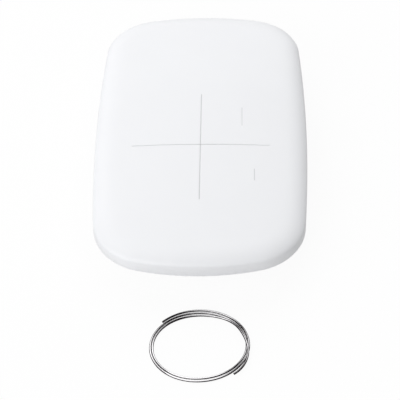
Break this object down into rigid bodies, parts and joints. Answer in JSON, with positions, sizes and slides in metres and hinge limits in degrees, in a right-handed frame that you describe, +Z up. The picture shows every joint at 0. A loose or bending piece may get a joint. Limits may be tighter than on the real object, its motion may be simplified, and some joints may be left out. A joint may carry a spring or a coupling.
{
  "type": "alarm remote control",
  "caption": "Pocket alarm remote: domed white hand piece with hidden press keys under a soft face marked by a cross, a coin-cell door behind and a thin wire key ring.",
  "frame": {"origin": "on the flat underside of the rear cover, below the middle of the body", "axes": "+X to the user's right, +Y away from the user along the body, +Z up through the keys' face"},
  "size_m": [0.037, 0.0816, 0.0098],
  "materials": {
    "soft_white": "satin",
    "white_plastic": "satin",
    "key_plastic": "matte",
    "plunger_plastic": "matte",
    "black_plastic": "matte",
    "board_green": "satin",
    "chip_black": "matte",
    "can_metal": "brushed",
    "led_lens": "clear",
    "contact_metal": "stamped",
    "cell_steel": "brushed",
    "screw_steel": "plated",
    "bar_steel": "ground",
    "ring_steel": "polished"
  },
  "bodies": {
    "housing": {"front_skin": "soft_white", "front_frame": "white_plastic", "switch_arm": "black_plastic", "switch_disarm": "black_plastic", "switch_night": "black_plastic", "switch_panic": "black_plastic", "circuit_board": "board_green", "radio_chip": "chip_black", "control_chip": "chip_black", "crystal": "can_metal", "status_led": "led_lens", "antenna": "contact_metal", "coin_cell": "cell_steel", "battery_holder": "black_plastic", "positive_clip": "contact_metal", "negative_spring": "contact_metal", "rear_cover": "white_plastic", "cover_screws": "screw_steel", "ring_bar": "bar_steel", "key_ring": "ring_steel"},
    "key_arm": {"key_arm": "key_plastic", "plunger_arm": "plunger_plastic"},
    "key_disarm": {"key_disarm": "key_plastic", "plunger_disarm": "plunger_plastic"},
    "key_night": {"key_night": "key_plastic", "plunger_night": "plunger_plastic"},
    "key_panic": {"key_panic": "key_plastic", "plunger_panic": "plunger_plastic"},
    "battery_door": {"battery_door": "white_plastic"}
  },
  "joints": [
    {"name": "press_arm", "type": "slide", "parent": "housing", "child": "key_arm", "axis": [0, 0, -1], "range_m": [0, 0.0003], "stiffness_N_per_m": 500, "springref_m": -0.001},
    {"name": "press_disarm", "type": "slide", "parent": "housing", "child": "key_disarm", "axis": [0, 0, -1], "range_m": [0, 0.0003], "stiffness_N_per_m": 500, "springref_m": -0.001},
    {"name": "press_night", "type": "slide", "parent": "housing", "child": "key_night", "axis": [0, 0, -1], "range_m": [0, 0.0003], "stiffness_N_per_m": 500, "springref_m": -0.001},
    {"name": "press_panic", "type": "slide", "parent": "housing", "child": "key_panic", "axis": [0, 0, -1], "range_m": [0, 0.0003], "stiffness_N_per_m": 500, "springref_m": -0.001},
    {"name": "door_turn", "type": "hinge", "parent": "housing", "child": "battery_door", "pos_m": [0, 0.0124, 0], "axis": [0, 0, -1], "range_deg": [0, 40]}
  ]
}
